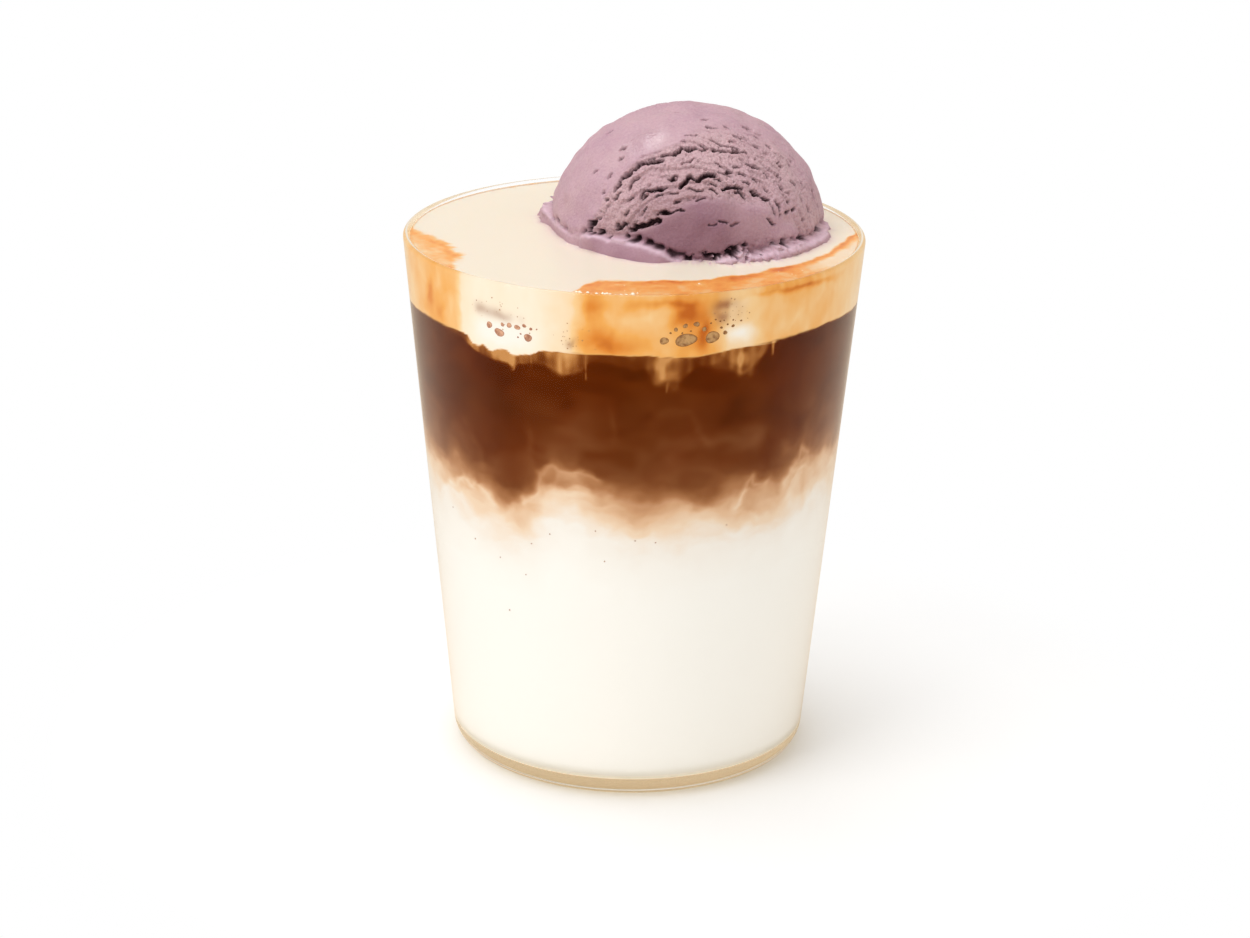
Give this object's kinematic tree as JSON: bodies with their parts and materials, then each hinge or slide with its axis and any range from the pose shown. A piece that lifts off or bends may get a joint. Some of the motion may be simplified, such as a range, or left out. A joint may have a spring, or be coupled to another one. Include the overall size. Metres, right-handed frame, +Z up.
{
  "type": "affogato in a tumbler",
  "caption": "Iced affogato: a clear tumbler filled to the brim with milk, coffee and cream in layers, and a round scoop of purple ice cream sunk in the cream.",
  "frame": {"origin": "middle of the glass's foot, on the surface that it stands on", "axes": "+Z up along the glass's axis, -Y towards the shown side, +X to the right of it"},
  "size_m": [0.0838, 0.0838, 0.1203],
  "materials": {
    "glass": "clear polished glass",
    "milk": "white milk, a little warm, seen through glass",
    "coffee": "dark coffee that thins out into the milk below it",
    "cream": "smooth pale cream, stained orange by coffee at the glass",
    "ice_cream": "greyish purple ice cream, smooth where scooped and torn in cracks at the front"
  },
  "bodies": {
    "root": {"glass": "glass", "milk": "milk", "coffee": "coffee", "cream": "cream", "ice_cream": "ice_cream"}
  },
  "joints": []
}
